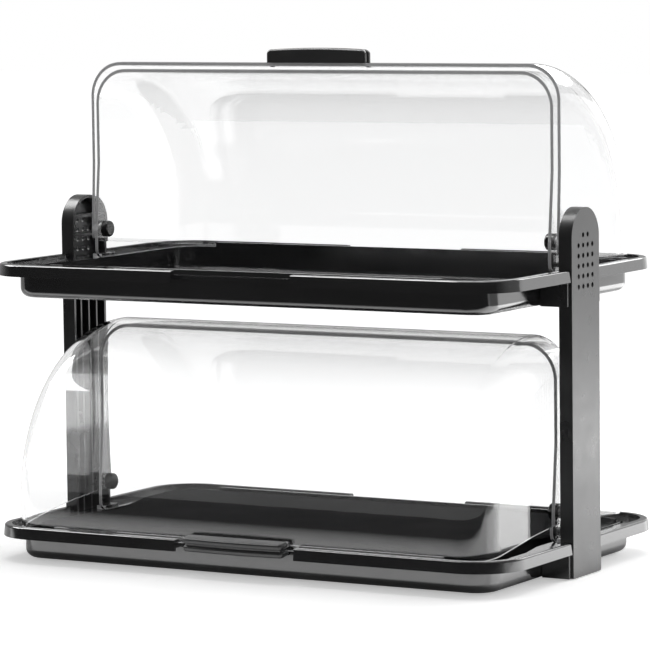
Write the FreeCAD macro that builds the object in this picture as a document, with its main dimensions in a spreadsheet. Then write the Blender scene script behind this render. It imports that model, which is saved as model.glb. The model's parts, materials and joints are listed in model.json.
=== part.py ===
import FreeCAD, Part
import math
import os

import Sketcher

Vector = FreeCAD.Vector
Placement = FreeCAD.Placement
Rotation = FreeCAD.Rotation

# Driving dimensions in millimetres
SIZES = {
    # Tray
    "tray_length": 530.0,
    "tray_depth": 325.0,
    "tray_corner": 45.0,
    "rim_top": 33.0,
    "channel_floor": 28.5,
    "plate_thickness": 3.2,
    "skirt_height": 10.5,
    "skirt_wall": 3.0,
    "skirt_flare": 0.9,
    "lip_side_width": 8.0,
    "lip_front_width": 7.3,
    "lip_round": 2.0,
    "tray_wall": 3.0,
    "tray_underside": 2.0,
    "well_side_inset": 21.5,
    "well_front_inset": 18.0,
    "well_corner": 24.0,
    "well_bottom_round": 8.5,
    "side_bay_depth": 7.0,
    "side_bay_width": 70.0,
    "side_bay_mouth": 138.0,
    "bead_top_width": 3.0,
    "bead_base_width": 4.2,
    "bead_length": 400.0,
    "notch_length": 122.0,
    "notch_inset": 10.5,
    # Room between the covers of a tier and the tray above
    "tier_gap": 27.5,
    # Serving insert
    "insert_end_clearance": 0.6,
    "insert_front_clearance": 13.0,
    "insert_top": 32.0,
    "insert_wall": 2.5,
    "insert_corner": 20.0,
    "insert_round": 1.8,
    "insert_bay_depth": 17.8,
    "insert_bay_width": 15.0,
    "insert_bay_mouth": 153.0,
    "insert_bay_forward": 14.5,
    "insert_bay_round": 40.0,
    "insert_foot_setback": 3.0,
    # Post
    "post_depth": 54.0,
    "post_thickness": 12.7,
    "post_proud": 0.5,
    "post_wall": 3.0,
    "post_head": 86.5,
    "post_lift": 1.0,
    "post_top_round": 26.5,
    "post_rib": 2.2,
    "post_rib_pitch": 13.0,
    "post_rib_setback": 1.5,
    "post_rib_drop": 2.5,
    "post_web": 3.0,
    "post_web_drop": 39.0,
    "post_slot_clearance": 0.3,
    "vent_hole": 4.4,
    "vent_pitch": 9.0,
    "vent_drop": 24.0,
    # Bracket under each tray end
    "bracket_depth": 64.0,
    "bracket_gap": 0.5,
    "bracket_outer_setback": 1.5,
    "bracket_wall": 3.0,
    "bracket_underside": 1.2,
    "bracket_screw_height": 12.0,
    # Rubber pads
    "pad_diameter": 11.0,
    "pad_thickness": 2.8,
    "pad_inset": 30.0,
    "pad_clearance": 0.1,
    "pad_spacing": 40.0,
    # Covers
    "pivot_height": 55.0,
    "cover_front_inset": 6.5,
    "cover_end_inset": 20.7,
    "cover_wall": 3.0,
    "cover_edge_round": 32.0,
    "cover_gap": 3.3,
    "cover_flare_height": 62.0,
    "lead_offset": 4.5,
    "roof_overlap": 4.5,
    "ear_front": 8.2,
    "ear_drop": 11.8,
    "ear_round": 7.0,
    "rear_lead_offset": 6.0,
    "rear_foot_offset": 12.0,
    "rear_corner_round": 8.0,
    "rear_foot_length": 22.0,
    "rear_foot_width": 8.0,
    "peg_diameter": 5.0,
    "peg_clearance": 0.15,
    "cover_rest_gap": 0.8,
    # Pivot
    "knob_diameter": 15.2,
    "knob_thickness": 6.5,
    "knob_round": 2.0,
    "pin_diameter": 6.0,
    "pin_clearance": 0.08,
    "pivot_nut_diameter": 11.0,
    "pivot_nut_thickness": 3.2,
    "spacer_diameter": 11.0,
    "pivot_side_clearance": 0.3,
    # Handle
    "handle_length": 102.5,
    "handle_height": 13.4,
    "handle_rise": 1.6,
    "handle_depth": 12.5,
    "handle_front_offset": 8.7,
    "handle_corner": 4.5,
    "handle_round": 2.2,
    "handle_groove_width": 1.6,
    "handle_groove_depth": 2.4,
    "clip_setback": 1.0,
    "clip_width": 1.6,
    "clip_depth": 3.8,
    "clip_hook": 1.2,
    "clip_hook_thickness": 1.0,
    "clip_clearance": 0.15,
    # Screws
    "screw_diameter": 4.0,
    "screw_head_diameter": 7.5,
    "screw_head_height": 2.4,
    "screw_clearance": 0.1,
    "boss_diameter": 8.4,
    "boss_screw_depth": 8.0,
    # One overrun for every through cut
    "overrun": 5.0,
}


class Size:
    """A length known both as a number and as a formula over the sheet."""

    def __init__(self, number, text):
        self.number = number
        self.text = text

    def joined(self, other, sign):
        number = other.number if isinstance(other, Size) else other
        text = other.text if isinstance(other, Size) else repr(other)
        result = {
            "+": lambda: self.number + number,
            "-": lambda: self.number - number,
            "*": lambda: self.number * number,
            "/": lambda: self.number / number,
        }[sign]()
        return Size(result, "(%s %s %s)" % (self.text, sign, text))

    def __add__(self, other):
        return self.joined(other, "+")

    def __mul__(self, other):
        return self.joined(other, "*")

    def __truediv__(self, other):
        return self.joined(other, "/")

    def __neg__(self):
        return Size(-self.number, "(0 - %s)" % self.text)

    def __sub__(self, other):
        return self.joined(other, "-")


document = FreeCAD.newDocument("bread_display_bin")
sheet = document.addObject("Spreadsheet::Sheet", "Sizes")
for line, (name, value) in enumerate(SIZES.items(), start=1):
    sheet.set("A%d" % line, name)
    sheet.set("B%d" % line, repr(value))
    sheet.setAlias("B%d" % line, name)
document.recompute()

size = {name: Size(value, "Sizes.%s" % name) for name, value in SIZES.items()}
zero = Size(0.0, "0")

# Edges and corners count as being in a place when they are this near to it
NEAR = 1e-4
subparts = []


def bind(item, path, amount):
    item.setExpression(path, amount.text)


# Sketching helpers
def origin_plane(body, role):
    for feature in body.Origin.OriginFeatures:
        if feature.Role == role:
            return feature
    raise ValueError(role)


def sketch_on(body, name, role, offset=zero):
    sketch = body.newObject("Sketcher::SketchObject", name)
    sketch.AttachmentSupport = [(origin_plane(body, role), "")]
    sketch.MapMode = "FlatFace"
    bind(sketch, ".AttachmentOffset.Base.z", offset)
    return sketch


def fix_point(sketch, geometry, point, u, v):
    for kind, amount in (("DistanceX", u), ("DistanceY", v)):
        constraint = Sketcher.Constraint(kind, -1, 1, geometry, point, amount.number)
        index = sketch.addConstraint(constraint)
        bind(sketch, "Constraints[%d]" % index, amount)


def circle(sketch, u, v, radius):
    centre = Vector(u.number, v.number, 0)
    index = sketch.addGeometry(Part.Circle(centre, Vector(0, 0, 1), radius.number), False)
    fix_point(sketch, index, 3, u, v)
    rule = sketch.addConstraint(Sketcher.Constraint("Radius", index, radius.number))
    bind(sketch, "Constraints[%d]" % rule, radius)


def outline(sketch, corners):
    """Closed outline through corners (u, v, radius); a rounded corner joins level and upright runs."""
    count = len(corners)

    def step(a, b, distance):
        """Point on the way from corner a to corner b, the given distance along a level or upright run."""
        du = b[0].number - a[0].number
        dv = b[1].number - a[1].number
        if abs(du) > abs(dv):
            return (a[0] + distance if du > 0 else a[0] - distance, a[1])
        return (a[0], a[1] + distance if dv > 0 else a[1] - distance)

    entries, exits = [], []
    for k, corner in enumerate(corners):
        if corner[2] is None:
            entries.append((corner[0], corner[1]))
            exits.append((corner[0], corner[1]))
        else:
            entries.append(step(corner, corners[k - 1], corner[2]))
            exits.append(step(corner, corners[(k + 1) % count], corner[2]))
    lines = []
    for k in range(count):
        start, end = exits[k], entries[(k + 1) % count]
        segment = Part.LineSegment(
            Vector(start[0].number, start[1].number, 0), Vector(end[0].number, end[1].number, 0))
        index = sketch.addGeometry(segment, False)
        fix_point(sketch, index, 1, *start)
        lines.append((index, end))
    for k in range(count):
        before, end = lines[k - 1]
        after, _ = lines[k]
        corner = corners[k]
        if corner[2] is None:
            sketch.addConstraint(Sketcher.Constraint("Coincident", before, 2, after, 1))
            continue
        fix_point(sketch, before, 2, *end)
        radius = corner[2].number
        entry, leave = entries[k], exits[k]
        a = Vector(entry[0].number, entry[1].number, 0)
        b = Vector(leave[0].number, leave[1].number, 0)
        tip = Vector(corner[0].number, corner[1].number, 0)
        centre = a + b - tip
        middle = centre + (tip - centre) * (radius / (tip - centre).Length)
        arc = sketch.addGeometry(Part.Arc(a, middle, b), False)
        turn = (a - centre).cross(b - centre).z
        first, last = (1, 2) if turn > 0 else (2, 1)
        sketch.addConstraint(Sketcher.Constraint("Coincident", before, 2, arc, first))
        sketch.addConstraint(Sketcher.Constraint("Coincident", after, 1, arc, last))
        rule = sketch.addConstraint(Sketcher.Constraint("Radius", arc, radius))
        bind(sketch, "Constraints[%d]" % rule, corner[2])


def rounded_rectangle(sketch, half_u, half_v, radius):
    outline(sketch, [
        (half_u, -half_v, radius), (half_u, half_v, radius),
        (-half_u, half_v, radius), (-half_u, -half_v, radius)])


def rectangle(sketch, u0, v0, u1, v1):
    outline(sketch, [(u0, v0, None), (u1, v0, None), (u1, v1, None), (u0, v1, None)])


def arched(sketch, half, foot, spring, rise):
    """Closed outline with a level foot, upright sides and a top that rises in an arc from the spring."""
    def line(a, b):
        start, end = (Vector(point[0].number, point[1].number, 0) for point in (a, b))
        index = sketch.addGeometry(Part.LineSegment(start, end), False)
        fix_point(sketch, index, 1, *a)
        fix_point(sketch, index, 2, *b)
        return index

    line((-half, foot), (half, foot))
    right = line((half, foot), (half, spring))
    left = line((-half, spring), (-half, foot))
    side, level, crown = half.number, spring.number, (spring + rise).number
    arc = sketch.addGeometry(
        Part.Arc(Vector(side, level, 0), Vector(0, crown, 0), Vector(-side, level, 0)), False)
    sketch.addConstraint(Sketcher.Constraint("Coincident", right, 2, arc, 1))
    sketch.addConstraint(Sketcher.Constraint("Coincident", left, 1, arc, 2))
    radius = (half * half + rise * rise) / (rise * 2)
    rule = sketch.addConstraint(Sketcher.Constraint("Radius", arc, radius.number))
    bind(sketch, "Constraints[%d]" % rule, radius)


# Solid features
def pad(body, sketch, length, both=False, back=False, lean=None):
    """Raise a sketch to a solid; a lean draws the far end in by that much on every side."""
    feature = body.newObject("PartDesign::Pad", sketch.Name + "_pad")
    feature.Profile = sketch
    bind(feature, "Length", length)
    feature.Midplane = both
    feature.Reversed = back
    if lean:
        feature.setExpression("TaperAngle", "-atan(%s / %s)" % (lean.text, length.text))
    return feature


def cut(body, sketch, length, both=False, back=False):
    document.recompute()
    before = body.Tip.Shape.Volume
    feature = body.newObject("PartDesign::Pocket", sketch.Name + "_cut")
    feature.Profile = sketch
    bind(feature, "Length", length)
    feature.Midplane = both
    feature.Reversed = back
    document.recompute()
    if not feature.Shape.Volume < before:
        raise ValueError("a cut removes nothing: " + sketch.Name)
    return feature


def spin(body, sketch, remove=False):
    """Turn a sketch once round its own level axis."""
    kind = "PartDesign::Groove" if remove else "PartDesign::Revolution"
    feature = body.newObject(kind, sketch.Name + "_turn")
    feature.Profile = sketch
    feature.ReferenceAxis = (sketch, ["H_Axis"])
    feature.Angle = 360
    return feature


def round_edges(body, radius, chosen):
    """Round the edges of the newest feature that the test picks."""
    document.recompute()
    base = body.Tip
    names = ["Edge%d" % (k + 1) for k, edge in enumerate(base.Shape.Edges) if chosen(edge)]
    if not names:
        raise ValueError("no edge to round on " + body.Name)
    feature = body.newObject("PartDesign::Fillet", "%s_round%d" % (body.Name, len(body.Group)))
    feature.Base = (base, names)
    bind(feature, "Radius", radius)
    return feature


def new_body(name):
    body = document.addObject("PartDesign::Body", name)
    body.Label = name
    subparts.append(body)
    return body


def place(body, x=zero, y=zero, z=zero):
    bind(body, ".Placement.Base.x", x)
    bind(body, ".Placement.Base.y", y)
    bind(body, ".Placement.Base.z", z)


# Places shared by several pieces
half_tray = size["tray_length"] / 2
half_tray_depth = size["tray_depth"] / 2
skirt_bottom = size["rim_top"] - size["skirt_height"]
plate_bottom = size["channel_floor"] - size["plate_thickness"]
well_half = half_tray - size["well_side_inset"]
well_half_depth = half_tray_depth - size["well_front_inset"]
well_inner_depth = well_half_depth - size["tray_wall"]
post_outer = half_tray + size["post_proud"]
post_inner = post_outer - size["post_thickness"]
slot_inner = post_inner - size["post_slot_clearance"]
slot_half = size["post_depth"] / 2 + size["post_slot_clearance"]
bay_wall = well_half - size["side_bay_depth"]
bay_half = size["side_bay_width"] / 2
bay_mouth = size["side_bay_mouth"] / 2
bracket_inner = bay_wall + size["bracket_gap"]
cover_radius = half_tray_depth - size["cover_front_inset"]
front_half = half_tray - size["cover_end_inset"]
panel_step = size["cover_wall"] + size["cover_gap"]
rear_half = front_half - panel_step
rear_radius = cover_radius - panel_step
peg_place = rear_half + size["rear_foot_width"] / 2
floor_drop = size["pivot_height"] - size["channel_floor"]
upper_base = size["pivot_height"] + cover_radius + size["tier_gap"]
post_top = upper_base + size["post_head"]
half_pin = size["pin_diameter"] / 2
pin_bore = half_pin + size["pin_clearance"]

# The closed front cover comes down until its leading edge stands just over the channel floor
lead_drop = floor_drop - size["cover_rest_gap"]
lead_fall = math.asin(lead_drop.number / cover_radius.number)
lead_lean = math.asin(size["lead_offset"].number / cover_radius.number)
closing_angle = 90.0 + math.degrees(lead_fall - lead_lean)

# The grip lies over the leading edge, and its snap hooks go through the roof under its rear band
handle_half = size["handle_length"] / 2
handle_middle = size["handle_depth"] / 2 - size["handle_front_offset"]
band_width = (size["handle_depth"] - size["handle_groove_width"]) / 2
clip_outer = handle_half - size["clip_setback"]
clip_inner = clip_outer - size["clip_width"]
clip_middle = handle_middle + (size["handle_groove_width"] + band_width) / 2


def level_edges(height):
    def chosen(edge):
        return all(abs(corner.Z - height.number) < NEAR for corner in edge.Vertexes)
    return chosen


def cross_edges(y, z):
    """Edges along X at a place of the YZ plane."""
    def chosen(edge):
        return all(math.hypot(corner.Y - y.number, corner.Z - z.number) < NEAR for corner in edge.Vertexes)
    return chosen


def make_tray(name, base, on_the_ground):
    """Serving tray: a well inside a raised channel that takes the covers, edged by a lip."""
    body = new_body(name)
    slab = sketch_on(body, name + "_slab", "XY_Plane", skirt_bottom)
    rounded_rectangle(slab, half_tray, half_tray_depth, size["tray_corner"])
    pad(body, slab, size["skirt_height"], lean=size["skirt_flare"])
    round_edges(body, size["lip_round"], level_edges(size["rim_top"]))

    channel = sketch_on(body, name + "_channel", "XY_Plane", size["rim_top"])
    rounded_rectangle(
        channel, half_tray - size["lip_side_width"], half_tray_depth - size["lip_front_width"],
        size["tray_corner"] - size["lip_side_width"])
    cut(body, channel, size["rim_top"] - size["channel_floor"])

    # The plate under the channel is thinner than the skirt round it is high
    for side, sign in (("front", -1), ("rear", 1)):
        under = sketch_on(body, name + "_under_" + side, "XY_Plane", skirt_bottom)
        end = half_tray - size["tray_corner"]
        rectangle(under, -end, well_half_depth * sign, end, (half_tray_depth - size["skirt_wall"]) * sign)
        cut(body, under, plate_bottom - skirt_bottom, back=True)

    block = sketch_on(body, name + "_block", "XY_Plane", size["tray_underside"])
    rounded_rectangle(block, well_half, well_half_depth, size["well_corner"])
    pad(body, block, size["channel_floor"] - size["tray_underside"])
    round_edges(body, size["well_bottom_round"], level_edges(size["tray_underside"]))

    floor = size["tray_underside"] + size["tray_wall"]
    well = sketch_on(body, name + "_well", "XY_Plane", size["channel_floor"])
    rounded_rectangle(
        well, well_half - size["tray_wall"], well_inner_depth, size["well_corner"] - size["tray_wall"])
    cut(body, well, size["channel_floor"] - floor)
    round_edges(body, size["well_bottom_round"] - size["tray_wall"], level_edges(floor))

    # A bay in each short side clears the bracket that carries the tray
    for side, sign in (("left", -1), ("right", 1)):
        inner_bay = (bay_wall - size["tray_wall"]) * sign
        inner_well = (well_half - size["tray_wall"]) * sign
        bay = sketch_on(body, name + "_bay_" + side, "XY_Plane", floor)
        outline(bay, [
            (inner_bay, -bay_half, None), (inner_well, -bay_mouth, None),
            (inner_well, bay_mouth, None), (inner_bay, bay_half, None)])
        pad(body, bay, size["channel_floor"] - floor)
        beyond = (half_tray + size["overrun"]) * sign
        hollow = sketch_on(body, name + "_bay_hollow_" + side, "XY_Plane", skirt_bottom)
        outline(hollow, [
            (bay_wall * sign, -bay_half, None), (well_half * sign, -bay_mouth, None),
            (beyond, -bay_mouth, None), (beyond, bay_mouth, None),
            (well_half * sign, bay_mouth, None), (bay_wall * sign, bay_half, None)])
        cut(body, hollow, skirt_bottom)

    for side, sign in (("front", -1), ("rear", 1)):
        bead = sketch_on(body, name + "_bead_" + side, "YZ_Plane")
        inside = well_inner_depth * sign
        base_edge = (well_inner_depth + size["bead_base_width"]) * sign
        top_edge = (well_inner_depth + size["bead_top_width"]) * sign
        outline(bead, [
            (inside, plate_bottom, None), (base_edge, plate_bottom, None),
            (base_edge, size["channel_floor"], None), (top_edge, size["rim_top"], None),
            (inside, size["rim_top"], None)])
        pad(body, bead, size["bead_length"], both=True)

        notch = sketch_on(body, name + "_notch_" + side, "XY_Plane", size["rim_top"] + size["overrun"])
        near = (half_tray_depth - size["notch_inset"]) * sign
        far = (half_tray_depth + size["overrun"]) * sign
        rectangle(notch, size["notch_length"] / -2, near, size["notch_length"] / 2, far)
        cut(body, notch, size["rim_top"] - skirt_bottom + size["overrun"] * 2)

    for side, sign in (("left", -1), ("right", 1)):
        slot = sketch_on(body, name + "_post_slot_" + side, "XY_Plane", size["rim_top"] + size["overrun"])
        rectangle(slot, slot_inner * sign, -slot_half, (half_tray + size["overrun"]) * sign, slot_half)
        cut(body, slot, size["rim_top"] - skirt_bottom + size["overrun"] * 2)

        peg = sketch_on(body, name + "_peg_hole_" + side, "XY_Plane", size["channel_floor"])
        circle(peg, peg_place * sign, zero, size["peg_diameter"] / 2 + size["peg_clearance"])
        cut(body, peg, size["plate_thickness"])
    if on_the_ground:
        right = tray_pad_spots()
        seat_pads(body, right + [(-x, y) for x, y in right], size["tray_underside"])
    place(body, z=base)
    return body


def make_insert(name):
    """Flat serving plate, waisted at both ends, on a frame that stands on the floor of the well."""
    body = new_body(name)
    floor = size["tray_underside"] + size["tray_wall"]
    half = rear_half - size["cover_wall"] - size["insert_end_clearance"]
    half_depth = well_inner_depth - size["insert_front_clearance"]
    waist = half - size["insert_bay_depth"]
    plate = sketch_on(body, name + "_plate", "XY_Plane", size["insert_top"] - size["insert_wall"])
    rounded_rectangle(plate, half, half_depth, size["insert_corner"])
    pad(body, plate, size["insert_wall"])

    middle = -size["insert_bay_forward"]
    for side, sign in (("left", -1), ("right", 1)):
        bay = sketch_on(body, name + "_bay_" + side, "XY_Plane", size["insert_top"])
        beyond = (half + size["overrun"]) * sign
        near, far = size["insert_bay_width"] / 2, size["insert_bay_mouth"] / 2
        outline(bay, [
            (waist * sign, middle - near, None), (half * sign, middle - far, None),
            (beyond, middle - far, None), (beyond, middle + far, None),
            (half * sign, middle + far, None), (waist * sign, middle + near, None)])
        cut(body, bay, size["insert_wall"])

    def at_a_bend(edge):
        ends = edge.Vertexes
        upright = abs(ends[0].Z - ends[-1].Z) > size["insert_wall"].number / 2
        return upright and abs(ends[0].Y - middle.number) < (far + size["overrun"]).number

    round_edges(body, size["insert_bay_round"], at_a_bend)
    round_edges(body, size["insert_round"], level_edges(size["insert_top"]))

    foot_half = waist - size["insert_foot_setback"]
    foot_depth = half_depth - size["insert_foot_setback"]
    frame = sketch_on(body, name + "_frame", "XY_Plane", floor)
    rounded_rectangle(frame, foot_half, foot_depth, size["insert_corner"])
    wall = size["insert_wall"]
    rounded_rectangle(frame, foot_half - wall, foot_depth - wall, size["insert_corner"] - wall)
    pad(body, frame, size["insert_top"] - wall - floor)
    return body


def turn_to_left(body):
    body.Placement = Placement(Vector(), Rotation(Vector(0, 0, 1), 180))


def screw_spots(base):
    height = base + size["bracket_screw_height"]
    return [(size["post_rib_pitch"], height), (-size["post_rib_pitch"], height)]


def make_post(name, left):
    """Upright with a domed top, open towards the trays, stiffened by ribs and webs."""
    body = new_body(name)
    half = size["post_depth"] / 2
    shell = sketch_on(body, name + "_shell", "YZ_Plane", post_outer)
    top, top_round = post_top, size["post_top_round"]
    outline(shell, [
        (-half, size["post_lift"], None), (half, size["post_lift"], None),
        (half, top, top_round), (-half, top, top_round)])
    pad(body, shell, size["post_thickness"], back=True)

    wall = size["post_wall"]
    hollow = sketch_on(body, name + "_hollow", "YZ_Plane", post_inner)
    outline(hollow, [
        (wall - half, size["post_lift"] + wall, None), (half - wall, size["post_lift"] + wall, None),
        (half - wall, top - wall, top_round - wall), (wall - half, top - wall, top_round - wall)])
    cut(body, hollow, size["post_thickness"] - wall, back=True)

    rib_depth = size["post_thickness"] - wall - size["post_rib_setback"]
    rib_top = upper_base - size["post_rib_drop"]
    for k, middle in enumerate((-size["post_rib_pitch"], zero, size["post_rib_pitch"])):
        rib = sketch_on(body, name + "_rib%d" % k, "YZ_Plane", post_outer - wall)
        rectangle(
            rib, middle - size["post_rib"] / 2, size["post_lift"] + wall,
            middle + size["post_rib"] / 2, rib_top)
        pad(body, rib, rib_depth, back=True)
    web_foot = top - size["post_web_drop"]
    for k, height in enumerate((web_foot, web_foot + size["vent_pitch"] * 2, rib_top)):
        web = sketch_on(body, name + "_web%d" % k, "YZ_Plane", post_outer - wall)
        rectangle(web, wall - half, height, half - wall, height + size["post_web"])
        pad(body, web, rib_depth, back=True)

    for tier, base in (("lower", zero), ("upper", upper_base)):
        for k, (y, z) in enumerate(screw_spots(base)):
            label = "%s_%s_boss%d" % (name, tier, k)
            boss = sketch_on(body, label, "YZ_Plane", post_outer - wall)
            circle(boss, y, z, size["boss_diameter"] / 2)
            pad(body, boss, size["post_thickness"] - wall, back=True)
            bore = sketch_on(body, label + "_bore", "YZ_Plane", post_inner)
            circle(bore, y, z, size["screw_diameter"] / 2 + size["screw_clearance"])
            cut(body, bore, size["boss_screw_depth"] + size["screw_clearance"], back=True)

    vents = sketch_on(body, name + "_vents", "YZ_Plane", post_outer)
    pitch = size["vent_pitch"]
    for row in range(6):
        for place_share in ((-0.5, 0.5) if row == 0 else (-1.5, -0.5, 0.5, 1.5)):
            circle(vents, pitch * place_share, top - size["vent_drop"] - pitch * row, size["vent_hole"] / 2)
    cut(body, vents, wall)
    if left:
        turn_to_left(body)
    return body


def bracket_pad_spots():
    middle = (bracket_inner + slot_inner) / 2
    return [(middle, size["pad_spacing"] / 2), (middle, size["pad_spacing"] / -2)]


def tray_pad_spots():
    x = well_half - size["pad_inset"]
    y = well_half_depth - size["pad_inset"]
    return [(x, y), (x, -y)]


def seat_pads(body, spots, underside):
    """Shallow round recesses in an underside, where the rubber pads are held."""
    for k, (x, y) in enumerate(spots):
        seat = sketch_on(body, "%s_pad_seat%d" % (body.Name, k), "XY_Plane", underside)
        circle(seat, x, y, size["pad_diameter"] / 2 + size["pad_clearance"])
        cut(body, seat, size["pad_thickness"] - underside, back=True)


def make_bracket(name, base, left, on_the_ground):
    """Moulded seat under one end of a tray, wrapped round the post and screwed to it."""
    body = new_body(name)
    half = size["bracket_depth"] / 2
    foot = base + size["bracket_underside"]
    top = base + skirt_bottom
    wall = size["bracket_wall"]
    block = sketch_on(body, name + "_block", "XY_Plane", foot)
    rectangle(block, bracket_inner, -half, half_tray - size["bracket_outer_setback"], half)
    pad(body, block, top - foot)
    slot = sketch_on(body, name + "_slot", "XY_Plane", top)
    rectangle(slot, slot_inner, -slot_half, half_tray + size["overrun"], slot_half)
    cut(body, slot, top - foot)
    hollow = sketch_on(body, name + "_hollow", "YZ_Plane", bracket_inner)
    rectangle(hollow, wall - half, foot + wall, half - wall, top - wall)
    cut(body, hollow, slot_inner - wall - bracket_inner, back=True)
    for k, (y, z) in enumerate(screw_spots(base)):
        bore = sketch_on(body, "%s_bore%d" % (name, k), "YZ_Plane", slot_inner)
        circle(bore, y, z, size["screw_diameter"] / 2 + size["screw_clearance"])
        cut(body, bore, wall)
    if on_the_ground:
        seat_pads(body, bracket_pad_spots(), size["bracket_underside"])
    if left:
        turn_to_left(body)
    return body


def screw(body, label, role, height, reach, u, v, back):
    """A pan head on the given plane and a shank behind it."""
    head = sketch_on(body, label + "_head", role, height)
    circle(head, u, v, size["screw_head_diameter"] / 2)
    pad(body, head, size["screw_head_height"], back=not back)
    shank = sketch_on(body, label + "_shank", role, height)
    circle(shank, u, v, size["screw_diameter"] / 2)
    pad(body, shank, reach, back=back)


def solids_of(pieces, name):
    """Several separate solids kept as one group under one name."""
    document.recompute()
    group = document.addObject("Part::Compound", name)
    group.Links = pieces
    group.Label = name
    for piece in pieces:
        subparts.remove(piece)
    subparts.append(group)
    return group


def make_bracket_screws(name, base):
    pieces = []
    face = slot_inner - size["bracket_wall"]
    reach = size["bracket_wall"] + size["post_slot_clearance"] + size["boss_screw_depth"]
    for side, left in (("left", True), ("right", False)):
        for k, (y, z) in enumerate(screw_spots(base)):
            label = "%s_%s_%d" % (name, side, k)
            body = new_body(label)
            screw(body, label, "YZ_Plane", face, reach, y, z, back=False)
            if left:
                turn_to_left(body)
            pieces.append(body)
    return solids_of(pieces, name)


def make_foot_pads(name):
    pieces = []
    for side, left in (("left", True), ("right", False)):
        for k, (x, y) in enumerate(bracket_pad_spots() + tray_pad_spots()):
            label = "%s_%s_%d" % (name, side, k)
            body = new_body(label)
            sketch = sketch_on(body, label + "_disc", "XY_Plane")
            circle(sketch, x, y, size["pad_diameter"] / 2)
            pad(body, sketch, size["pad_thickness"])
            if left:
                turn_to_left(body)
            pieces.append(body)
    return solids_of(pieces, name)


def arch(sketch, half, radius, corner):
    outline(sketch, [
        (half, zero, None), (half, radius, corner), (-half, radius, corner), (-half, zero, None)])


def make_drum(body, name, half, radius):
    """Hollow drum about the pivot line with closed, rounded ends."""
    outer = sketch_on(body, name + "_outer", "XZ_Plane")
    arch(outer, half, radius, size["cover_edge_round"])
    spin(body, outer)
    inner = sketch_on(body, name + "_inner", "XZ_Plane")
    arch(
        inner, half - size["cover_wall"], radius - size["cover_wall"],
        size["cover_edge_round"] - size["cover_wall"])
    spin(body, inner, remove=True)


def bore_pivot(body, name, half):
    bore = sketch_on(body, name + "_pivot_bore", "YZ_Plane")
    circle(bore, zero, zero, pin_bore)
    cut(body, bore, (half + size["overrun"]) * 2, both=True)


def pose(body, base, closed):
    turn = closing_angle if closed else 0.0
    body.Placement = Placement(Vector(), Rotation(Vector(1, 0, 0), turn))
    bind(body, ".Placement.Base.z", base + size["pivot_height"])


def make_front_cover(name, base, closed):
    """Moving quarter drum, drawn open: its leading edge stands up in front of the pivot."""
    body = new_body(name)
    make_drum(body, name, front_half, cover_radius)
    far = cover_radius + size["overrun"]
    width = (front_half + size["overrun"]) * 2
    foot = -size["ear_drop"]

    ahead = sketch_on(body, name + "_lead", "YZ_Plane")
    outline(ahead, [
        (-far, -far, None), (-size["ear_front"], -far, None), (-size["ear_front"], foot, None),
        (-size["lead_offset"], size["cover_flare_height"], None), (-size["lead_offset"], far, None),
        (-far, far, None)])
    cut(body, ahead, width, both=True)

    # Drawn as it lies when closed, so the sketch is turned back by the closing angle
    behind = sketch_on(body, name + "_trail", "YZ_Plane")
    behind.AttachmentOffset = Placement(Vector(), Rotation(Vector(0, 0, 1), -closing_angle))
    spread = size["ear_drop"] - size["roof_overlap"]
    outline(behind, [
        (size["ear_drop"] + spread * far / cover_radius, -far, None), (far, -far, None), (far, far, None),
        (size["roof_overlap"], far, None), (size["roof_overlap"], cover_radius, None)])
    cut(body, behind, width, both=True)

    def below_the_pivot(edge):
        """The lower front corner of each side wall, in front of and under the pivot."""
        ends = [math.hypot(corner.Y, corner.Z) for corner in edge.Vertexes]
        across = abs(edge.Vertexes[0].X - edge.Vertexes[-1].X) > size["cover_wall"].number / 2
        return across and all(size["ear_drop"].number < end < (far / 2).number for end in ends)

    round_edges(body, size["ear_round"], below_the_pivot)
    bore_pivot(body, name, front_half)
    half_slot = size["clip_depth"] / 2 + size["clip_clearance"]
    for side, sign in (("left", -1), ("right", 1)):
        slot = sketch_on(body, name + "_clip_slot_" + side, "XY_Plane", far)
        rectangle(
            slot, (clip_inner - size["clip_hook"] - size["clip_clearance"]) * sign, clip_middle - half_slot,
            (clip_outer + size["clip_clearance"]) * sign, clip_middle + half_slot)
        cut(body, slot, size["cover_wall"] * 2 + size["overrun"])
    pose(body, base, closed)
    return body


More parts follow.
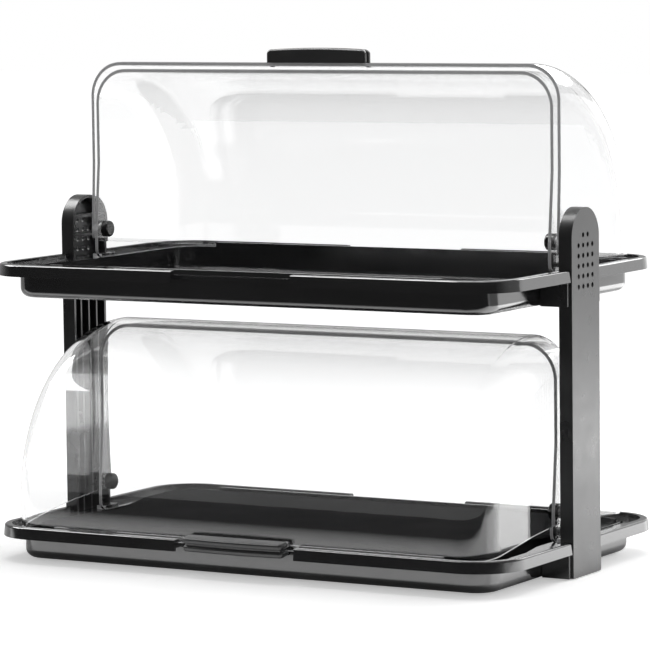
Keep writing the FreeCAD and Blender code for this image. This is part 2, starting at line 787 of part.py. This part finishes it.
def make_rear_cover(name, base):
    """Fixed quarter drum with straight skirts that stand in the channel of the tray."""
    body = new_body(name)
    wall = size["cover_wall"]
    corner = size["cover_edge_round"]
    make_drum(body, name, rear_half, rear_radius)
    skirt = sketch_on(body, name + "_skirt", "XY_Plane", -floor_drop)
    rounded_rectangle(skirt, rear_half, rear_radius, corner)
    pad(body, skirt, floor_drop)
    inside = sketch_on(body, name + "_skirt_inside", "XY_Plane")
    rounded_rectangle(inside, rear_half - wall, rear_radius - wall, corner - wall)
    cut(body, inside, floor_drop + size["overrun"])
    under = sketch_on(body, name + "_under", "XY_Plane", -floor_drop)
    far = rear_radius + size["overrun"]
    rectangle(under, -rear_half - size["overrun"], -far, rear_half + size["overrun"], far)
    cut(body, under, far)
    ahead = sketch_on(body, name + "_lead", "YZ_Plane")
    outline(ahead, [
        (-far, -far, None), (-size["rear_foot_offset"], -far, None), (-size["rear_foot_offset"], zero, None),
        (-size["rear_lead_offset"], size["cover_flare_height"], None), (-size["rear_lead_offset"], far, None),
        (-far, far, None)])
    cut(body, ahead, (rear_half + size["overrun"]) * 2, both=True)
    round_edges(body, size["rear_corner_round"], cross_edges(-size["rear_foot_offset"], -floor_drop))

    for side, sign in (("left", -1), ("right", 1)):
        foot = sketch_on(body, name + "_foot_" + side, "XY_Plane", -floor_drop)
        front = size["rear_corner_round"] - size["rear_foot_offset"]
        rectangle(
            foot, (rear_half - wall) * sign, front,
            (rear_half + size["rear_foot_width"]) * sign, front + size["rear_foot_length"])
        pad(body, foot, wall)
        peg = sketch_on(body, name + "_peg_" + side, "XY_Plane", -floor_drop)
        circle(peg, peg_place * sign, zero, size["peg_diameter"] / 2)
        pad(body, peg, size["plate_thickness"] - size["peg_clearance"], back=True)
    bore_pivot(body, name, rear_half)
    place(body, z=base + size["pivot_height"])
    return body


def make_handle(name, base, closed):
    """Grip with a gently arched back, two rounded bands and a groove, held by two snap hooks."""
    body = new_body(name)
    foot = cover_radius
    front = -size["handle_front_offset"]
    rise = size["handle_rise"]
    spring = foot + size["handle_height"] - rise
    face = sketch_on(body, name + "_face", "XZ_Plane", -front)
    arched(face, handle_half, foot, spring, rise)
    pad(body, face, size["handle_depth"], back=True)

    def level_with_y(edge):
        return abs(edge.Vertexes[0].Y - edge.Vertexes[-1].Y) < NEAR

    round_edges(
        body, size["handle_corner"], lambda edge: level_edges(spring)(edge) and not level_with_y(edge))

    depth = size["handle_groove_depth"]
    groove = sketch_on(body, name + "_groove", "XZ_Plane", -handle_middle)
    beyond = handle_half + size["overrun"]
    under = foot - size["overrun"]
    rectangle(groove, -beyond, under, beyond, foot + size["handle_height"] + size["overrun"])
    arched(groove, handle_half - depth, under + size["overrun"] / 2, spring - depth, rise)
    cut(body, groove, size["handle_groove_width"], both=True)

    def outside(edge):
        """Edges round the two bands, apart from those at the foot and on the floor of the groove."""
        reach = max(abs(corner.X) for corner in edge.Vertexes)
        height = max(corner.Z for corner in edge.Vertexes)
        outermost = reach > handle_half.number - NEAR or height > spring.number
        return level_with_y(edge) and outermost and not level_edges(foot)(edge)

    round_edges(body, size["handle_round"], outside)

    reach = size["cover_wall"] + size["clip_clearance"]
    half_depth = size["clip_depth"] / 2
    for side, sign in (("left", -1), ("right", 1)):
        leg = sketch_on(body, name + "_leg_" + side, "XY_Plane", foot)
        rectangle(
            leg, clip_inner * sign, clip_middle - half_depth, clip_outer * sign, clip_middle + half_depth)
        pad(body, leg, reach + size["clip_hook_thickness"], back=True)
        hook = sketch_on(body, name + "_hook_" + side, "XY_Plane", foot - reach)
        rectangle(
            hook, clip_inner * sign, clip_middle - half_depth,
            (clip_outer + size["clip_hook"]) * sign, clip_middle + half_depth)
        pad(body, hook, size["clip_hook_thickness"], back=True)
    pose(body, base, closed)
    return body


def make_pivot(name, base, left):
    """Black knob inside the rear cover with its pin through both covers."""
    body = new_body(name)
    inner_face = rear_half - size["cover_wall"] - size["pivot_side_clearance"]
    tip = front_half + size["pivot_side_clearance"] + size["pivot_nut_thickness"]
    knob = sketch_on(body, name + "_knob", "YZ_Plane", inner_face)
    circle(knob, zero, zero, size["knob_diameter"] / 2)
    pad(body, knob, size["knob_thickness"], back=True)
    outer_face = inner_face - size["knob_thickness"]
    round_edges(
        body, size["knob_round"],
        lambda edge: all(abs(corner.X - outer_face.number) < NEAR for corner in edge.Vertexes))
    pin = sketch_on(body, name + "_pin", "YZ_Plane", inner_face)
    circle(pin, zero, zero, half_pin)
    pad(body, pin, tip - inner_face)
    set_side(body, base, left)
    return body


def set_side(body, base, left):
    turn = 180.0 if left else 0.0
    body.Placement = Placement(Vector(), Rotation(Vector(0, 0, 1), turn))
    bind(body, ".Placement.Base.z", base + size["pivot_height"])


def make_ring(name, base, left, inner_face, diameter, thickness):
    body = new_body(name)
    ring = sketch_on(body, name + "_ring", "YZ_Plane", inner_face)
    circle(ring, zero, zero, diameter / 2)
    circle(ring, zero, zero, pin_bore)
    pad(body, ring, thickness)
    set_side(body, base, left)
    return body


def make_covers(tier, base, closed):
    make_rear_cover(tier + "_rear_cover", base)
    make_front_cover(tier + "_front_cover", base, closed)
    make_handle(tier + "_handle", base, closed)
    clearance = size["pivot_side_clearance"]
    for side, left in (("left", True), ("right", False)):
        prefix = "%s_%s_pivot" % (tier, side)
        make_pivot(prefix + "_knob", base, left)
        make_ring(
            prefix + "_spacer", base, left, rear_half, size["spacer_diameter"],
            size["cover_gap"] - clearance)
        make_ring(
            prefix + "_nut", base, left, front_half + clearance, size["pivot_nut_diameter"],
            size["pivot_nut_thickness"])


make_tray("lower_tray", zero, True)
make_tray("upper_tray", upper_base, False)
make_insert("lower_serving_insert")
make_post("left_post", True)
make_post("right_post", False)
for tier, base, on_the_ground in (("lower", zero, True), ("upper", upper_base, False)):
    for side, left in (("left", True), ("right", False)):
        make_bracket("%s_%s_bracket" % (tier, side), base, left, on_the_ground)
    make_bracket_screws(tier + "_bracket_screws", base)
make_foot_pads("foot_pads")
make_covers("lower", zero, True)
make_covers("upper", upper_base, False)


def check_and_write():
    document.recompute()
    for item in document.Objects:
        if "Invalid" in item.State or "Error" in item.State:
            raise ValueError("failed object: " + item.Name)
    os.makedirs("parts", exist_ok=True)
    for item in subparts:
        shape = item.Shape
        if shape.isNull() or not shape.isValid():
            raise ValueError("bad shape: " + item.Label)
        shape.exportStep(os.path.join("parts", item.Label + ".step"))
        print(item.Label, len(shape.Solids), round(shape.Volume, 1), shape.BoundBox)


check_and_write()
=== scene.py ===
"""Countertop bread display bin: the finish of its surfaces and the studio round it."""

import json
import math

import bpy
from mathutils import Matrix, Vector

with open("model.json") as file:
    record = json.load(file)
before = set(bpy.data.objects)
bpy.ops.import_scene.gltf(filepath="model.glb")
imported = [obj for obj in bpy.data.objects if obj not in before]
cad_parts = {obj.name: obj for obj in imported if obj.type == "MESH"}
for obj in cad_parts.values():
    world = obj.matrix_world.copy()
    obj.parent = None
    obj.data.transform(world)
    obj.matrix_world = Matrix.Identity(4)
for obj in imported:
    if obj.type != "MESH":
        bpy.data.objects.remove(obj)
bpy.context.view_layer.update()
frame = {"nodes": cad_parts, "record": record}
nodes = frame["nodes"]
scene = bpy.context.scene

# Metres in one millimetre
MM = 0.001

# Camera, fitted to the photograph in its frame of 650 by 650 pixels
FRAME_PIXELS = 650.0
SENSOR_WIDTH = 36.0
FOCAL_PIXELS = 3842.27
CAMERA_PLACE = Vector((1741.71, -3006.85, 549.55)) * MM
CAMERA_YAW = math.radians(30.0517)
CAMERA_PITCH = math.radians(5.556)
CAMERA_ROLL = math.radians(-0.71685)

# Floor: half its width, and the brightness it adds where it is looked at, near and far
FLOOR_HALF = 12.0
SEEN_LIFT = 0.42
FAR_LIFT = 0.67
FAR_START, FAR_END = 0.5, 1.3

# Brightness that the floor adds where it is mirrored, in front of the object and to the right of it
FRONT_LIFT = 1.1
FRONT_START, FRONT_FULL = -0.163, -0.19
RIGHT_LIFT = 1.9
RIGHT_START, RIGHT_FULL = 0.24, 0.3
BESIDE_START, BESIDE_FULL = -0.2, -0.12
BESIDE_FADE, BESIDE_END = 1.2, 1.8

# The floor's reflection fades out in front of the object, into the dark of the room
SHEET_FADE = 0.24
SHEET_END = 0.38
ROOM_DARK = 0.06

# Sky round the room: its light, and its brightness behind the object where it is mirrored
SKY_LIGHT = 0.5
SKY_MIRRORED = 0.45
SKY_START, SKY_FULL = -0.45, 0.35

# Watts for each square metre of a lamp's face at a brightness of 1
LAMP_WATTS = 4.0

# Frosted cut faces of the covers: how far in front of the pivots they lie, and their share of frost
CUT_NEAR, CUT_FAR = 2.0 * MM, 13.0 * MM
CUT_BLUR = 1.0 * MM
CUT_FROST = 0.45

# Rubbed edges of the covers: their width and their share of frost
EDGE_WIDTH = 1.5 * MM
EDGE_FROST = 0.3

WHITE = (1.0, 1.0, 1.0, 1.0)


# Node helpers
def add_node(tree, kind, inputs=None, **settings):
    """New node with its settings; an input is either another node's socket or a plain value."""
    node = tree.nodes.new(kind)
    for name, value in settings.items():
        setattr(node, name, value)
    for name, value in (inputs or {}).items():
        if isinstance(value, bpy.types.NodeSocket):
            tree.links.new(value, node.inputs[name])
        else:
            node.inputs[name].default_value = value
    return node


class Shader:
    """One node material under construction."""

    def __init__(self, name):
        self.material = bpy.data.materials.new(name)
        self.material.use_nodes = True
        self.tree = self.material.node_tree
        self.tree.nodes.clear()
        self.output = self.add("ShaderNodeOutputMaterial")
        self.place = self.add("ShaderNodeTexCoord").outputs["Object"]

    def add(self, kind, inputs=None, **settings):
        return add_node(self.tree, kind, inputs, **settings)

    def stretched(self, scale):
        """Object coordinates stretched by a scale for each axis."""
        return self.add("ShaderNodeMapping", {"Vector": self.place, "Scale": scale}).outputs["Vector"]

    def noise(self, per_metre, detail=3.0, place=None):
        node = self.add("ShaderNodeTexNoise", {
            "Vector": place or self.place, "Scale": per_metre, "Detail": detail})
        return node.outputs["Fac"]

    def ranged(self, value, low, high, start=0.3, end=0.7):
        """The value mapped from start..end to low..high."""
        node = self.add("ShaderNodeMapRange", {
            "Value": value, "From Min": start, "From Max": end, "To Min": low, "To Max": high})
        return node.outputs["Result"]

    def shades(self, value, low, high):
        """A mix of two colours by a value from 0 to 1."""
        node = self.add("ShaderNodeMix", data_type="RGBA")
        self.tree.links.new(value, node.inputs["Factor"])
        node.inputs["A"].default_value = (*low, 1.0)
        node.inputs["B"].default_value = (*high, 1.0)
        return node.outputs["Result"]

    def sum(self, a, b, weight):
        """a plus b times the weight."""
        return self.add("ShaderNodeMath", {0: b, 1: weight, 2: a}, operation="MULTIPLY_ADD").outputs["Value"]

    def product(self, a, b):
        return self.add("ShaderNodeMath", {0: a, 1: b}, operation="MULTIPLY").outputs["Value"]

    def larger(self, a, b):
        return self.add("ShaderNodeMath", {0: a, 1: b}, operation="MAXIMUM").outputs["Value"]

    def bump(self, height, depth, strength=1.0):
        node = self.add("ShaderNodeBump", {"Height": height, "Distance": depth, "Strength": strength})
        return node.outputs["Normal"]

    def worn_edges(self, radius):
        """1 at sharp edges and 0 on flats, by how far a rounded normal leans from the true one."""
        soft = self.add("ShaderNodeBevel", {"Radius": radius}, samples=4).outputs["Normal"]
        true = self.add("ShaderNodeNewGeometry").outputs["Normal"]
        match = self.add("ShaderNodeVectorMath", {0: soft, 1: true}, operation="DOT_PRODUCT")
        return self.ranged(match.outputs["Value"], 1.0, 0.0, 0.75, 0.98)

    def finish(self, shader):
        self.tree.links.new(shader.outputs[0], self.output.inputs["Surface"])
        return self.material


def moulded_plastic(name, dark, light, gloss, index, grain_per_metre, grain_depth):
    """Black moulded plastic: faint flow marks, fine grain, rubbed edges; gloss is a roughness range."""
    s = Shader(name)
    flow = s.noise(14.0, 4.0, s.stretched((0.35, 1.0, 1.6)))
    smudges = s.noise(45.0, 5.0)
    grain = s.noise(grain_per_metre, 2.0)
    edges = s.worn_edges(0.6 * MM)
    tint = s.sum(s.ranged(flow, 0.0, 1.0), edges, 0.6)
    rough = s.sum(s.ranged(smudges, *gloss), edges, 0.06)
    shader = s.add("ShaderNodeBsdfPrincipled", {
        "Base Color": s.shades(tint, dark, light), "Roughness": rough, "IOR": index,
        "Normal": s.bump(grain, grain_depth)})
    return s.finish(shader)


def tray_plastic():
    return moulded_plastic(
        "tray_plastic", (0.006, 0.006, 0.0063), (0.012, 0.012, 0.0125), (0.08, 0.16), 1.9, 420.0, 0.008 * MM)


def post_plastic():
    return moulded_plastic(
        "post_plastic", (0.012, 0.012, 0.0125), (0.02, 0.02, 0.0205), (0.26, 0.34), 1.55, 1400.0, 0.01 * MM)


def bracket_plastic():
    return moulded_plastic(
        "bracket_plastic", (0.01, 0.01, 0.0105), (0.018, 0.018, 0.0185), (0.2, 0.3), 1.6, 1400.0, 0.01 * MM)


def handle_plastic():
    return moulded_plastic(
        "handle_plastic", (0.018, 0.018, 0.0185), (0.028, 0.028, 0.0285), (0.28, 0.36), 1.55, 1600.0,
        0.012 * MM)


def knob_plastic():
    return moulded_plastic(
        "knob_plastic", (0.006, 0.006, 0.006), (0.011, 0.011, 0.0113), (0.07, 0.14), 1.55, 900.0, 0.006 * MM)


def insert_plastic():
    """Matte plate with a fine spark-eroded texture."""
    s = Shader("insert_plastic")
    grain = s.noise(2300.0, 2.0)
    pits = s.add("ShaderNodeTexVoronoi", {"Vector": s.place, "Scale": 1500.0}).outputs["Distance"]
    wear = s.noise(18.0, 5.0)
    scuffs = s.noise(60.0, 6.0, s.stretched((3.0, 0.4, 1.0)))
    edges = s.worn_edges(0.7 * MM)
    tint = s.sum(s.ranged(wear, 0.0, 0.8), edges, 0.5)
    shader = s.add("ShaderNodeBsdfPrincipled", {
        "Base Color": s.shades(tint, (0.022, 0.022, 0.0225), (0.03, 0.03, 0.0305)),
        "Roughness": s.ranged(scuffs, 0.5, 0.64), "Specular IOR Level": 0.0,
        "Normal": s.bump(s.sum(grain, pits, 0.5), 0.05 * MM)})
    return s.finish(shader)


def foot_rubber():
    """Matte rubber with a fine speckle."""
    s = Shader("foot_rubber")
    speckle = s.noise(1800.0, 3.0)
    shader = s.add("ShaderNodeBsdfPrincipled", {
        "Base Color": s.shades(speckle, (0.012, 0.012, 0.012), (0.03, 0.03, 0.03)),
        "Roughness": s.ranged(speckle, 0.75, 0.9), "Normal": s.bump(speckle, 0.06 * MM)})
    return s.finish(shader)


def see_through(s, surface, tint):
    """Lamps reach what lies behind the surface; sight and reflections follow the surface itself."""
    clear = s.add("ShaderNodeBsdfTransparent", {"Color": tint})
    path = s.add("ShaderNodeLightPath")
    mix = s.add("ShaderNodeMixShader", {
        "Fac": path.outputs["Is Shadow Ray"], 1: surface.outputs[0], 2: clear.outputs[0]})
    return s.finish(mix)


def clear_cover():
    """Crystal-clear moulding with rubbed edges, fine scratches and a faint ripple; painted shade greys it
    seen edge-on.
    """
    s = Shader("clear_cover")
    ripple = s.noise(9.0, 2.0)
    scratches = s.noise(300.0, 2.0, s.stretched((0.06, 1.0, 1.0)))
    # Painted shade: the colour turns grey where the glass is seen edge-on, standing in for its dark edges and
    # silhouettes; the same grey tint also passes to the lamps' shadows through the cover
    facing = s.add("ShaderNodeLayerWeight", {"Blend": 0.5}).outputs["Facing"]
    tint = s.shades(s.ranged(facing, 0.0, 1.0, 0.88, 1.0), (0.985, 0.986, 0.987), (0.34, 0.345, 0.35))
    surface = s.add("ShaderNodeBsdfPrincipled", {
        "Base Color": tint, "Roughness": s.ranged(scratches, 0.0, 0.03, 0.55, 0.75), "IOR": 1.49,
        "Transmission Weight": 1.0, "Normal": s.bump(ripple, 0.25 * MM, 0.4)})

    # The cut faces in front of the pivots, which pipe light along the walls, are frosted
    frosted = s.add("ShaderNodeBsdfDiffuse", {"Color": (0.8, 0.8, 0.81, 1.0)})
    ahead = s.add("ShaderNodeSeparateXYZ", {"Vector": s.place}).outputs["Y"]
    normal = s.add("ShaderNodeTexCoord").outputs["Normal"]
    forward = s.add("ShaderNodeSeparateXYZ", {"Vector": normal}).outputs["Y"]
    behind_far = s.ranged(ahead, 0.0, 1.0, -CUT_FAR - CUT_BLUR, -CUT_FAR)
    before_near = s.ranged(ahead, 1.0, 0.0, -CUT_NEAR, -CUT_NEAR + CUT_BLUR)
    cut_face = s.product(s.product(behind_far, before_near), s.ranged(forward, 1.0, 0.0, -0.9, -0.7))
    share = s.sum(s.product(s.worn_edges(EDGE_WIDTH), EDGE_FROST), cut_face, CUT_FROST)
    rubbed = s.add("ShaderNodeMixShader", {"Fac": share, 1: surface.outputs[0], 2: frosted.outputs[0]})
    return see_through(s, rubbed, tint)


def spacer_plastic():
    """Milky, half-clear ring."""
    s = Shader("spacer_plastic")
    cloud = s.noise(700.0, 2.0)
    tint = s.shades(cloud, (0.7, 0.7, 0.7), (0.82, 0.82, 0.82))
    surface = s.add("ShaderNodeBsdfPrincipled", {
        "Base Color": tint, "Roughness": s.ranged(cloud, 0.2, 0.34), "Transmission Weight": 0.75})
    return see_through(s, surface, tint)


def screw_steel():
    """Zinc-plated steel with turning marks."""
    s = Shader("screw_steel")
    turned = s.noise(5200.0, 2.0, s.stretched((1.0, 1.0, 0.15)))
    shader = s.add("ShaderNodeBsdfPrincipled", {
        "Base Color": s.shades(turned, (0.5, 0.5, 0.51), (0.62, 0.62, 0.63)), "Metallic": 1.0,
        "Roughness": s.ranged(turned, 0.24, 0.4), "Normal": s.bump(turned, 0.01 * MM)})
    return s.finish(shader)


# Finish of the frame's nodes
def dress(node, material):
    """Give a node its material."""
    node.data.materials.clear()
    node.data.materials.append(material)


def soften(node, width):
    """Round the sharp edges of a node a little, as a mould leaves them."""
    weld = node.modifiers.new("weld", "WELD")
    weld.merge_threshold = 0.002 * MM
    bevel = node.modifiers.new("soft_edges", "BEVEL")
    bevel.width = width
    bevel.segments = 2
    bevel.limit_method = "ANGLE"
    bevel.angle_limit = math.radians(35.0)
    bevel.miter_outer = "MITER_ARC"
    shade = node.modifiers.new("shading", "WEIGHTED_NORMAL")
    shade.keep_sharp = False
    shade.weight = 100


def finish_nodes():
    """Every node gets the material of its slot, and the moulded ones softer edges."""
    makers = {
        "tray_plastic": tray_plastic, "insert_plastic": insert_plastic, "post_plastic": post_plastic,
        "bracket_plastic": bracket_plastic, "foot_rubber": foot_rubber, "clear_cover": clear_cover,
        "handle_plastic": handle_plastic, "knob_plastic": knob_plastic, "spacer_plastic": spacer_plastic,
        "screw_steel": screw_steel}
    finishes = {name: make() for name, make in makers.items()}
    widths = {
        "tray_plastic": 0.4 * MM, "post_plastic": 0.35 * MM, "bracket_plastic": 0.3 * MM,
        "handle_plastic": 0.25 * MM}
    for row in frame["record"]["subparts"]:
        node = nodes[row["node"]]
        slot = row["material_slot"]
        dress(node, finishes[slot])
        if slot in widths:
            soften(node, widths[slot])


# Studio
def make_camera():
    """Camera at the fitted place, turned by its yaw, pitch and roll."""
    forward = Vector((
        -math.sin(CAMERA_YAW) * math.cos(CAMERA_PITCH), math.cos(CAMERA_YAW) * math.cos(CAMERA_PITCH),
        -math.sin(CAMERA_PITCH)))
    level = Vector((math.cos(CAMERA_YAW), math.sin(CAMERA_YAW), 0.0))
    upright = level.cross(forward)
    right = level * math.cos(CAMERA_ROLL) + upright * math.sin(CAMERA_ROLL)
    up = upright * math.cos(CAMERA_ROLL) - level * math.sin(CAMERA_ROLL)
    data = bpy.data.cameras.new("camera")
    data.sensor_width = SENSOR_WIDTH
    data.lens = FOCAL_PIXELS / FRAME_PIXELS * SENSOR_WIDTH
    camera = bpy.data.objects.new("camera", data)
    camera.matrix_world = Matrix((
        (right.x, up.x, -forward.x, CAMERA_PLACE.x),
        (right.y, up.y, -forward.y, CAMERA_PLACE.y),
        (right.z, up.z, -forward.z, CAMERA_PLACE.z),
        (0.0, 0.0, 0.0, 1.0)))
    scene.collection.objects.link(camera)
    scene.camera = camera


def softbox(name, place, target, width, height, radiance, lights=True, mirrored=True):
    """Rectangular lamp of a given brightness of face, that lights matte surfaces, is mirrored, or both."""
    data = bpy.data.lights.new(name, "AREA")
    data.shape = "RECTANGLE"
    data.size = width
    data.size_y = height
    data.energy = radiance * LAMP_WATTS * width * height
    lamp = bpy.data.objects.new(name, data)
    lamp.location = place
    lamp.rotation_euler = (Vector(target) - Vector(place)).to_track_quat("-Z", "Y").to_euler()
    lamp.visible_camera = False
    lamp.visible_transmission = False
    lamp.visible_diffuse = lights
    lamp.visible_glossy = mirrored
    scene.collection.objects.link(lamp)


def make_lamps():
    softbox("overhead_lamp", (0.0, 0.1, 1.7), (0.0, 0.0, 0.2), 1.5, 1.1, 2.05)
    softbox("rear_right_lamp", (0.8, 1.25, 0.45), (0.2, 0.0, 0.25), 0.9, 1.3, 3.6, mirrored=False)
    softbox("left_sky_lamp", (-1.15, -0.1, 1.5), (0.0, 0.0, 0.2), 0.9, 1.6, 8.0, lights=False)
    softbox("rear_strip_lamp", (0.0, 1.5, 1.15), (0.0, 0.0, 0.3), 1.5, 0.6, 4.5, lights=False)
    softbox("rear_right_panel", (0.41, 0.61, 0.25), (-0.08, -0.256, 0.25), 0.8, 0.5, 0.88, lights=False)


def make_floor():
    """Pale floor that reads as white away from the object and keeps its shadow."""
    far = FLOOR_HALF
    mesh = bpy.data.meshes.new("floor")
    mesh.from_pydata(
        [(-far, -far, 0.0), (far, -far, 0.0), (far, far, 0.0), (-far, far, 0.0)], [], [(0, 1, 2, 3)])
    floor = bpy.data.objects.new("floor", mesh)
    scene.collection.objects.link(floor)
    s = Shader("floor_paper")
    fibre = s.noise(600.0, 3.0)
    paper = s.add("ShaderNodeBsdfDiffuse", {"Color": s.shades(fibre, (0.84, 0.84, 0.84), (0.88, 0.88, 0.88))})
    path = s.add("ShaderNodeLightPath").outputs
    mirror = path["Is Glossy Ray"]
    seen = s.larger(path["Is Camera Ray"], path["Is Transmission Ray"])
    spot = s.add("ShaderNodeSeparateXYZ", {"Vector": s.place}).outputs
    away = s.add("ShaderNodeVectorMath", {0: s.place}, operation="LENGTH").outputs["Value"]
    white = s.ranged(away, SEEN_LIFT, FAR_LIFT, FAR_START, FAR_END)
    in_front = s.ranged(spot["Y"], FRONT_LIFT, 0.0, FRONT_FULL, FRONT_START)
    at_right = s.ranged(spot["X"], 0.0, RIGHT_LIFT, RIGHT_START, RIGHT_FULL)
    beside = s.ranged(spot["Y"], 0.0, 1.0, BESIDE_START, BESIDE_FULL)
    near = s.product(beside, s.ranged(away, 1.0, 0.0, BESIDE_FADE, BESIDE_END))
    mirrored = s.sum(in_front, at_right, near)
    glow = s.add("ShaderNodeEmission", {"Strength": s.sum(s.product(seen, white), mirror, mirrored)})
    lit = s.add("ShaderNodeAddShader", {0: paper.outputs[0], 1: glow.outputs[0]})

    # Reflections see the sheet end in front of the object, where the room is dark
    dark = s.product(s.ranged(spot["Y"], 1.0, 0.0, -SHEET_END, -SHEET_FADE), mirror)
    room = s.add("ShaderNodeEmission", {"Strength": ROOM_DARK})
    shown = s.add("ShaderNodeMixShader", {"Fac": dark, 1: lit.outputs[0], 2: room.outputs[0]})
    mesh.materials.append(s.finish(shown))


def make_world():
    """White where it is looked at, grey as light, and dim in front for reflections, like a deep room."""
    world = bpy.data.worlds.new("studio")
    scene.world = world
    world.use_nodes = True
    tree = world.node_tree
    tree.nodes.clear()
    output = add_node(tree, "ShaderNodeOutputWorld")
    path = add_node(tree, "ShaderNodeLightPath").outputs
    direction = add_node(tree, "ShaderNodeTexCoord").outputs["Generated"]
    depth = add_node(tree, "ShaderNodeSeparateXYZ", {"Vector": direction}).outputs["Y"]
    room = add_node(tree, "ShaderNodeMapRange", {
        "Value": depth, "From Min": SKY_START, "From Max": SKY_FULL, "To Min": ROOM_DARK,
        "To Max": SKY_MIRRORED}, interpolation_type="SMOOTHSTEP")
    plain, mirrored, white = (
        add_node(tree, "ShaderNodeBackground", {"Color": WHITE, "Strength": strength})
        for strength in (SKY_LIGHT, room.outputs["Result"], 1.0))
    lit = add_node(tree, "ShaderNodeMixShader", {
        "Fac": path["Is Glossy Ray"], 1: plain.outputs[0], 2: mirrored.outputs[0]})
    seen = add_node(tree, "ShaderNodeMath", {
        0: path["Is Camera Ray"], 1: path["Is Transmission Ray"]}, operation="MAXIMUM")
    shown = add_node(tree, "ShaderNodeMixShader", {
        "Fac": seen.outputs["Value"], 1: lit.outputs[0], 2: white.outputs[0]})
    tree.links.new(shown.outputs[0], output.inputs["Surface"])


def make_studio():
    scene.view_settings.view_transform = "Standard"
    make_camera()
    make_lamps()
    make_floor()
    make_world()


finish_nodes()
make_studio()
